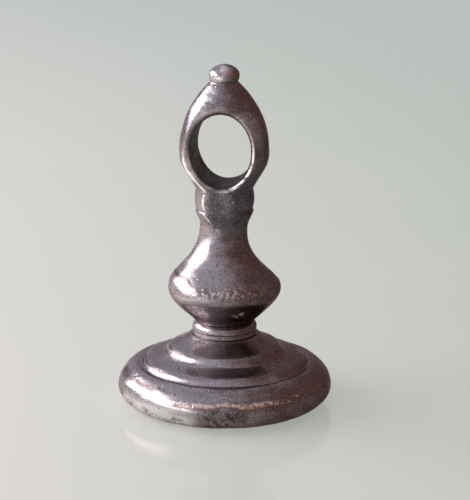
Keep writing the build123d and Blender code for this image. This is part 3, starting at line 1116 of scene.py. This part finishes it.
class SEAL_OT_collar(bpy.types.Operator):
    """Make the band and bead between the foot and the baluster"""

    bl_idname = "seal.collar"
    bl_label = "Stem Collar"

    def execute(self, context):
        sizes = context.scene.seal_stem
        surface = context.scene.seal_surface
        foot = bottom("stem_collar")
        waist = top("stem_collar")
        band = reach("stem_collar") - sizes.band_inset
        radius = reach("stem_collar") - sizes.bead_swell
        dome = sizes.bead_height / (math.sin(sizes.bead_turn) + math.sin(sizes.bead_undercut))
        centre = (radius, waist - dome * math.sin(sizes.bead_turn))
        band_top = waist - sizes.bead_height
        side = Outline(band - surface.end_margin, foot).line(band, foot)
        side.line(band, band_top - sizes.band_slope)
        side.line(radius + sizes.bead_swell * math.cos(sizes.bead_undercut), band_top)
        side.arc(centre, sizes.bead_swell, dome, -sizes.bead_undercut, sizes.bead_turn)
        side.line(waist_radius(sizes) - surface.end_margin, waist)
        collar = turn_piece("collar", side, surface.bead_mesh_step)
        finish_piece(collar, "stem_collar", surface.wear)
        return {"FINISHED"}


class SEAL_OT_baluster(bpy.types.Operator):
    """Make the two halves of the baluster"""

    bl_idname = "seal.baluster"
    bl_label = "Baluster"

    def execute(self, context):
        sizes = context.scene.seal_stem
        surface = context.scene.seal_surface
        margin = surface.end_margin
        step = surface.stem_mesh_step
        waist = (waist_radius(sizes), top("stem_collar"))
        belly = (reach("baluster_lower"), waist[1] + sizes.belly_rise)
        neck = (sizes.neck_radius, top("baluster_upper"))
        seam = bottom("baluster_upper")
        over = (belly[0], belly[1] + sizes.shoulder_fullness)
        sweep = (neck[0], neck[1] - sizes.neck_sweep)
        below, above = cut_sweep(belly, over, sweep, neck, seam)
        lower = Outline(waist[0] - margin, waist[1]).line(*waist)
        flare = leaning(waist, sizes.waist_flare, sizes.waist_angle)
        lower.sweep(flare, (belly[0], belly[1] - sizes.belly_fullness), belly)
        lower.sweep(*below[1:]).line(below[3][0] - margin, seam)
        upper = Outline(above[0][0] - margin, seam).line(*above[0])
        upper.sweep(*above[1:]).line(neck[0] - margin, neck[1])
        finish_piece(turn_piece("baluster_low", lower, step), "baluster_lower", surface.wear)
        shoulder = turn_piece("baluster_high", upper, step, sway=sizes.sway)
        finish_piece(shoulder, "baluster_upper", surface.wear)
        return {"FINISHED"}


class SEAL_OT_neck(bpy.types.Operator):
    """Make the two neck bands with the nick between them"""

    bl_idname = "seal.neck"
    bl_label = "Neck Collar"

    def execute(self, context):
        sizes = context.scene.seal_handle
        surface = context.scene.seal_surface
        margin = surface.end_margin
        step = surface.neck_mesh_step
        arris = sizes.neck_arris
        foot = bottom("neck_collar")
        loop_base = top("neck_collar")
        neck = context.scene.seal_stem.neck_radius
        lower = neck + sizes.lower_band_swell
        lower_top = foot + sizes.lower_band_height
        upper_foot = lower_top + sizes.nick_height
        pull = sizes.lower_band_pull * sizes.lower_band_height
        base = sizes.loop_base_radius
        # A curve swells three quarters as far as its two handles do.
        bulge = base + (reach("neck_collar") - base) * 4 / 3
        third = (loop_base - upper_foot) / 3
        side = Outline(neck - margin, foot).line(neck, foot)
        side.sweep((neck, foot + pull), (lower, lower_top - pull), (lower, lower_top))
        side.line(min(lower, base) - sizes.nick_depth, lower_top + sizes.nick_height / 2)
        side.line(base, upper_foot)
        side.sweep((bulge, upper_foot + third), (bulge, loop_base - third), (base, loop_base))
        side.line(base - margin, loop_base)
        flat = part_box("neck_collar")[1].y
        bands = turn_piece("neck", side, step, flat, arris, arris, sizes.neck_taper)
        finish_piece(bands, "neck_collar", surface.wear, flat)
        return {"FINISHED"}


class SEAL_OT_loop(bpy.types.Operator):
    """Make the bud with its two flats and pierce it with the oval eye"""

    bl_idname = "seal.loop"
    bl_label = "Suspension Loop"

    def execute(self, context):
        sizes = context.scene.seal_handle
        surface = context.scene.seal_surface
        step = surface.loop_mesh_step
        base = (sizes.loop_base_radius, top("neck_collar"))
        crown = top("suspension_loop")
        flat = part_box("suspension_loop")[1].y
        wide = (reach("suspension_loop"), eye_height(sizes) - sizes.widest_drop)
        inset = wide[0] - sizes.crown_radius
        rise = crown - wide[1]
        bend = (inset * inset + rise * rise) / (2 * inset)
        stub = base[1] - surface.end_margin
        side = Outline(0.0, stub).line(base[0], stub).line(*base)
        hip = leaning(base, sizes.hip_flare, sizes.hip_angle)
        side.sweep(hip, (wide[0], wide[1] - sizes.hip_fullness), wide)
        side.arc((wide[0] - bend, wide[1]), bend, bend, 0, math.asin(rise / bend))
        peak = crown + surface.end_margin
        side.line(sizes.crown_radius, peak).line(0.0, peak)
        bud = turn_piece("loop", side, step, flat, sizes.arris, sizes.crown_arris)

        cutter = self.turn_cutter(sizes, flat, step)
        pierce = bud.modifiers.new("pierce", "BOOLEAN")
        pierce.object = cutter
        pierce.solver = "EXACT"
        even = bud.modifiers.new("even", "REMESH")
        even.mode = "VOXEL"
        even.voxel_size = step
        bud = settled(bud)
        bpy.data.objects.remove(cutter)
        finish_piece(bud, "suspension_loop", surface.loop_wear, flat, base[1], crown)
        return {"FINISHED"}

    def turn_cutter(self, sizes, flat, step):
        """What the eye leaves out, turned upright, then laid along Y and stretched to an oval."""
        spread = sizes.eye_flare_turn
        depth = sizes.eye_flare_depth
        mouth = flat - depth * math.sin(spread)
        beyond = 2 * flat
        half = sizes.eye_half_width
        flare = half + sizes.eye_flare
        rim = flare - sizes.eye_flare * math.cos(spread)
        hole = Outline(0.0, -beyond).line(rim, -beyond).line(rim, -flat)
        hole.arc((flare, -mouth), sizes.eye_flare, depth, math.pi + spread, math.pi)
        hole.line(half, mouth)
        hole.arc((flare, mouth), sizes.eye_flare, depth, math.pi, math.pi - spread)
        hole.line(rim, beyond).line(0.0, beyond)
        cutter = turn_piece("eye_cutter", hole, step)
        middle = eye_height(sizes)
        for vertex in cutter.data.vertices:
            across, away, along = vertex.co
            vertex.co = (across, -along, middle + away * sizes.eye_half_height / half)
        return cutter


class SEAL_OT_bead(bpy.types.Operator):
    """Make the flattened bead on the crown"""

    bl_idname = "seal.bead"
    bl_label = "Finial Bead"

    def execute(self, context):
        sizes = context.scene.seal_handle
        surface = context.scene.seal_surface
        crown = top("suspension_loop")
        peak = top("finial_bead")
        wide = reach("finial_bead")
        waist = crown + sizes.bead_under_height
        seat = sizes.bead_seat_radius
        roundness = sizes.bead_roundness
        side = Outline(seat - surface.end_margin, crown).line(seat, crown)
        side.arc((seat, waist), wide - seat, sizes.bead_under_height, -math.pi / 2, 0)
        over = (wide, waist + roundness * (peak - waist))
        side.sweep(over, (roundness * wide, peak), (0.0, peak))
        bead = turn_piece("bead", side, surface.bead_mesh_step)
        finish_piece(bead, "finial_bead", surface.wear)
        return {"FINISHED"}


class SEAL_OT_stage(bpy.types.Operator):
    """Set up the table, the window light and the camera"""

    bl_idname = "seal.stage"
    bl_label = "Stage"

    def execute(self, context):
        stage = context.scene.seal_stage
        self.lay_table(stage)
        self.light_window(stage)
        self.light_room(context.scene, stage)
        self.set_camera(context.scene, stage)
        context.scene.view_settings.view_transform = "Standard"
        return {"FINISHED"}

    def lay_table(self, stage):
        """A wide pale table top under the seal."""
        half = TABLE_HALF
        corners = [(-half, -half, 0), (half, -half, 0), (half, half, 0), (-half, half, 0)]
        mesh = bpy.data.meshes.new("table")
        mesh.from_pydata(corners, [], [(0, 1, 2, 3)])
        mesh.materials.append(self.pale_table(stage))
        place_object("table", mesh)

    def pale_table(self, stage):
        """A pale sheen with a painted falloff of light, darker to the right and away, and a painted
        pool of window light on the window's side, seen only in reflections.
        """
        material = new_material("pale_table")
        tree = material.node_tree
        place = add_node(tree, "ShaderNodeTexCoord", output="Object")
        x, y, _ = split_vector(place)
        cloud = noise(place, 30 * MM, 3.0, 0.5, 1.0)
        away = (y - CAMERA_SPOT).larger(LEAST_AWAY)
        # Painted falloff of the window's light across the table.
        falloff = 0.4 + x / away * 2.4 + y * 3.4 + (cloud - 0.5) * 0.15
        tint = mix_colour(falloff.clamped(), stage.table, stage.table_far)
        inputs = {"Base Color": tint, "Roughness": 0.1 + cloud * 0.06}
        lit = add_node(tree, "ShaderNodeBsdfPrincipled", inputs=inputs)
        seen = add_node(tree, "ShaderNodeLightPath", output="Is Camera Ray")
        mirrored = seen.also("Is Glossy Ray")
        seen = (seen + mirrored + seen.also("Is Transmission Ray")).clamped()
        # Painted pool of window light on the table, seen only by glossy rays.
        sunlit = 1 + mirrored * (-x).ramp(0.005, 0.025) * 1.9
        pale = add_node(tree, "ShaderNodeEmission", inputs={"Color": tint.scaled(sunlit)})
        inputs = {0: seen * stage.table_glow, 1: lit, 2: pale}
        shader = add_node(tree, "ShaderNodeMixShader", inputs=inputs)
        add_node(tree, "ShaderNodeOutputMaterial", inputs={"Surface": shader})
        return material

    def light_window(self, stage):
        """A wide low window on the left, and a dimmer one beside it, nearer to the camera."""
        glows = {"window": stage.window_glow, "side_window": stage.side_glow}
        for name, edge in PANES.items():
            lamp = bpy.data.lights.new(name, "AREA")
            lamp.shape = "RECTANGLE"
            lamp.size = edge["far"] - edge["near"]
            lamp.size_y = edge["head"] - edge["sill"]
            lamp.energy = glows[name] * math.pi * lamp.size * lamp.size_y
            pane = place_object(name, lamp)
            along = (edge["near"] + edge["far"]) / 2
            pane.location = (WINDOW_WALL, along, (edge["sill"] + edge["head"]) / 2)
            pane.rotation_euler = (math.pi / 2, 0.0, -math.pi / 2)

    def light_room(self, scene, stage):
        """The room round the table, pale on the window's side and dim on the other."""
        world = bpy.data.worlds.new("room")
        world.use_nodes = True
        tree = world.node_tree
        tree.nodes.clear()
        across, along, up = split_vector(add_node(tree, "ShaderNodeTexCoord", output="Generated"))
        walls = mix_colour(across.ramp(-0.3, 0.75), stage.near_wall, stage.far_wall)
        walls = walls.scaled(1 + (-along).ramp(0.1, 0.6) * up.ramp(0.25, 0.5) * 0.2)
        shade = add_node(tree, "ShaderNodeBackground", inputs={"Color": walls})
        add_node(tree, "ShaderNodeOutputWorld", inputs={"Surface": shade})
        scene.world = world

    def set_camera(self, scene, stage):
        """A long lens at the photograph's angle."""
        lens = bpy.data.cameras.new("camera")
        lens.sensor_width = SENSOR
        lens.lens = stage.scale * stage.distance / MM / IMAGE_HEIGHT * SENSOR
        lens.clip_start = 0.01
        camera = place_object("camera", lens)
        right = Vector((math.cos(stage.azimuth), math.sin(stage.azimuth), 0.0))
        level = Vector((math.sin(stage.azimuth), -math.cos(stage.azimuth), 0.0))
        back = level * math.cos(stage.elevation) + Vector((0.0, 0.0, math.sin(stage.elevation)))
        aim = Vector((0.0, 0.0, stage.aim_height)) + right * (stage.stem_offset / stage.scale * MM)
        camera.location = aim + back * stage.distance
        camera.rotation_mode = "QUATERNION"
        camera.rotation_quaternion = (-back).to_track_quat("-Z", "Y")
        scene.camera = camera


class SEAL_PT_panel(bpy.types.Panel):
    """Lists the seal's pieces and its stage"""

    bl_idname = "SEAL_PT_panel"
    bl_label = "Wax Seal Stamp"
    bl_space_type = "VIEW_3D"
    bl_region_type = "UI"
    bl_category = "Seal"

    def draw(self, context):
        for step in STEPS:
            self.layout.operator(step.bl_idname)
        for name, group in GROUPS.items():
            box = self.layout.box()
            box.label(text=group.__doc__)
            settings = getattr(context.scene, name)
            for key in group.__annotations__:
                box.prop(settings, key)


STEPS = (
    SEAL_OT_matrix,
    SEAL_OT_foot,
    SEAL_OT_collar,
    SEAL_OT_baluster,
    SEAL_OT_neck,
    SEAL_OT_loop,
    SEAL_OT_bead,
    SEAL_OT_stage,
)
GROUPS = {
    "seal_foot": SealFootSizes,
    "seal_stem": SealStemSizes,
    "seal_handle": SealHandleSizes,
    "seal_surface": SealSurface,
    "seal_finish": SealFinish,
    "seal_stage": SealStage,
}


def register():
    for name, group in GROUPS.items():
        bpy.utils.register_class(group)
        setattr(bpy.types.Scene, name, bpy.props.PointerProperty(type=group))
    for step in STEPS:
        bpy.utils.register_class(step)
    bpy.utils.register_class(SEAL_PT_panel)


def unregister():
    bpy.utils.unregister_class(SEAL_PT_panel)
    for step in reversed(STEPS):
        bpy.utils.unregister_class(step)
    for name, group in GROUPS.items():
        delattr(bpy.types.Scene, name)
        bpy.utils.unregister_class(group)


def main():
    register()
    bpy.ops.seal.matrix()
    bpy.ops.seal.foot()
    bpy.ops.seal.collar()
    bpy.ops.seal.baluster()
    bpy.ops.seal.neck()
    bpy.ops.seal.loop()
    bpy.ops.seal.bead()
    bpy.ops.seal.stage()


if __name__ == "__main__":
    main()
